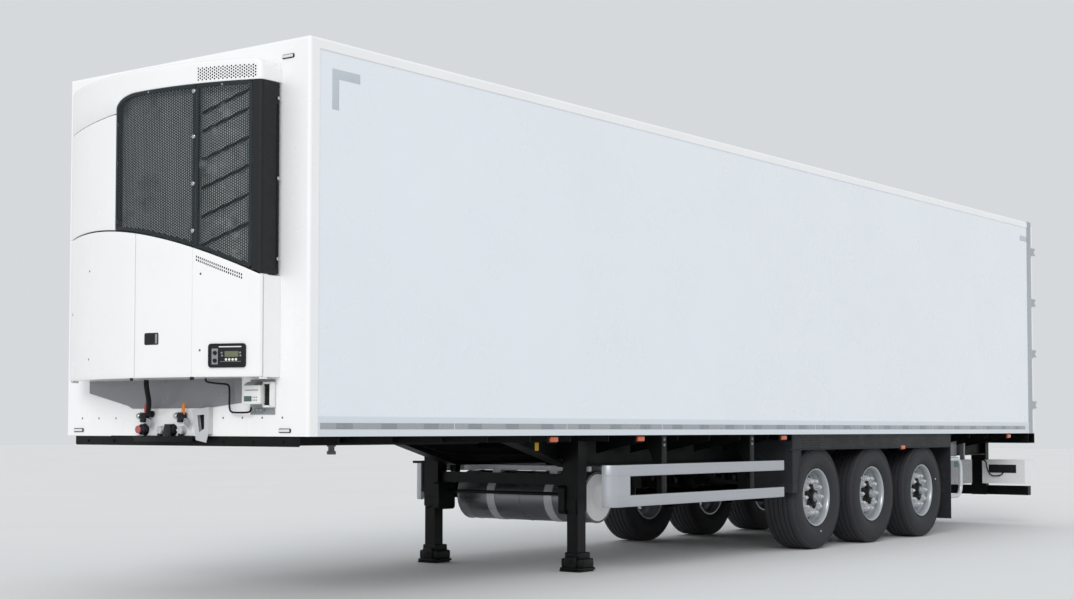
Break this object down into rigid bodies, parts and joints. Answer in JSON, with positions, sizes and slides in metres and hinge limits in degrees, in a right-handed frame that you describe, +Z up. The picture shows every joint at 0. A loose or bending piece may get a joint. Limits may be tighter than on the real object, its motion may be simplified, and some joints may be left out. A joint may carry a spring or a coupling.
{
  "type": "refrigerated semi trailer",
  "caption": "Enclosed insulated semi trailer with a front refrigeration unit, swinging rear doors, landing legs, tandem running gear and a kingpin for a tractor's fifth wheel.",
  "frame": {"origin": "on the ground, in the middle of the overall length and width", "axes": "+X forward to the refrigeration unit, +Y to the trailer's left side, +Z up"},
  "size_m": [14.11, 2.6, 3.96],
  "materials": {
    "white_paint": "gloss",
    "panel_white": "gloss",
    "rail_aluminium": "satin",
    "floor_resin": "matte",
    "chassis_black": "satin",
    "coupling_steel": "satin",
    "tank_aluminium": "satin",
    "strap_steel": "satin",
    "guard_aluminium": "satin",
    "mudguard_plastic": "matte",
    "spring_rubber": "matte",
    "shock_paint": "satin",
    "bumper_black": "satin",
    "galvanised": "matte",
    "buffer_rubber": "matte",
    "grey_plastic": "matte",
    "coupling_body": "matte",
    "recorder_plastic": "satin",
    "cable_rubber": "matte",
    "unit_shell_white": "gloss",
    "grille_coating": "satin",
    "coil_metal": "matte",
    "engine_paint": "satin",
    "stainless": "satin",
    "tyre_rubber": "matte",
    "rim_silver": "satin"
  },
  "bodies": {
    "trailer": {"floor": "floor_resin", "side_wall_left": "panel_white", "side_wall_right": "panel_white", "front_wall": "white_paint", "roof": "panel_white", "base_rails": "rail_aluminium", "edge_rails": "panel_white", "rear_frame": "stainless", "evaporator": "grey_plastic", "main_beams": "chassis_black", "cross_members": "chassis_black", "coupling_plate": "chassis_black", "kingpin": "coupling_steel", "landing_legs": "chassis_black", "landing_shaft": "chassis_black", "fuel_tank": "tank_aluminium", "tank_straps": "strap_steel", "side_guards": "guard_aluminium", "mudguards": "mudguard_plastic", "suspension_hangers": "chassis_black", "trailing_arms": "chassis_black", "air_springs": "spring_rubber", "shock_absorbers": "shock_paint", "axles": "chassis_black", "air_tanks": "chassis_black", "underrun_bumper": "bumper_black", "rear_sill": "bumper_black", "lamp_carriers": "galvanised", "rear_buffers": "buffer_rubber", "valve_module": "grey_plastic", "valve_guard": "galvanised", "service_panel": "chassis_black", "couplings": "coupling_body", "data_recorder": "recorder_plastic", "front_lines": "cable_rubber", "reefer_frame": "unit_shell_white", "reefer_condenser": "coil_metal", "reefer_engine": "engine_paint", "reefer_hood": "unit_shell_white", "reefer_side_cover": "unit_shell_white", "reefer_grille": "grille_coating"},
    "rear_door_left": {"rear_door_left": "panel_white", "door_locks_left": "stainless"},
    "rear_door_right": {"rear_door_right": "panel_white", "door_locks_right": "stainless"},
    "unit_door_left": {"reefer_door_left": "unit_shell_white"},
    "unit_door_right": {"reefer_door_right": "unit_shell_white"},
    "wheel_1_left": {"tyre_1_left": "tyre_rubber", "rim_1_left": "rim_silver"},
    "wheel_1_right": {"tyre_1_right": "tyre_rubber", "rim_1_right": "rim_silver"},
    "wheel_2_left": {"tyre_2_left": "tyre_rubber", "rim_2_left": "rim_silver"},
    "wheel_2_right": {"tyre_2_right": "tyre_rubber", "rim_2_right": "rim_silver"},
    "wheel_3_left": {"tyre_3_left": "tyre_rubber", "rim_3_left": "rim_silver"},
    "wheel_3_right": {"tyre_3_right": "tyre_rubber", "rim_3_right": "rim_silver"}
  },
  "joints": [
    {"name": "rear_door_left_hinge", "type": "hinge", "parent": "trailer", "child": "rear_door_left", "pos_m": [-7.035, 1.286, 2.57], "axis": [0, 0, -1], "range_deg": [0, 270]},
    {"name": "rear_door_right_hinge", "type": "hinge", "parent": "trailer", "child": "rear_door_right", "pos_m": [-7.035, -1.286, 2.57], "axis": [0, 0, 1], "range_deg": [0, 270]},
    {"name": "unit_door_left_hinge", "type": "hinge", "parent": "trailer", "child": "unit_door_left", "pos_m": [6.803, 1.016, 2], "axis": [0, 0, 1], "range_deg": [0, 110]},
    {"name": "unit_door_right_hinge", "type": "hinge", "parent": "trailer", "child": "unit_door_right", "pos_m": [6.803, -1.016, 2], "axis": [0, 0, -1], "range_deg": [0, 110]},
    {"name": "wheel_1_left_spin", "type": "hinge", "parent": "trailer", "child": "wheel_1_left", "pos_m": [-1.015, 1.0275, 0.536], "axis": [0, 1, 0], "continuous": true},
    {"name": "wheel_1_right_spin", "type": "hinge", "parent": "trailer", "child": "wheel_1_right", "pos_m": [-1.015, -1.0275, 0.536], "axis": [0, 1, 0], "continuous": true},
    {"name": "wheel_2_left_spin", "type": "hinge", "parent": "trailer", "child": "wheel_2_left", "pos_m": [-2.325, 1.0275, 0.536], "axis": [0, 1, 0], "continuous": true},
    {"name": "wheel_2_right_spin", "type": "hinge", "parent": "trailer", "child": "wheel_2_right", "pos_m": [-2.325, -1.0275, 0.536], "axis": [0, 1, 0], "continuous": true},
    {"name": "wheel_3_left_spin", "type": "hinge", "parent": "trailer", "child": "wheel_3_left", "pos_m": [-3.635, 1.0275, 0.536], "axis": [0, 1, 0], "continuous": true},
    {"name": "wheel_3_right_spin", "type": "hinge", "parent": "trailer", "child": "wheel_3_right", "pos_m": [-3.635, -1.0275, 0.536], "axis": [0, 1, 0], "continuous": true}
  ]
}
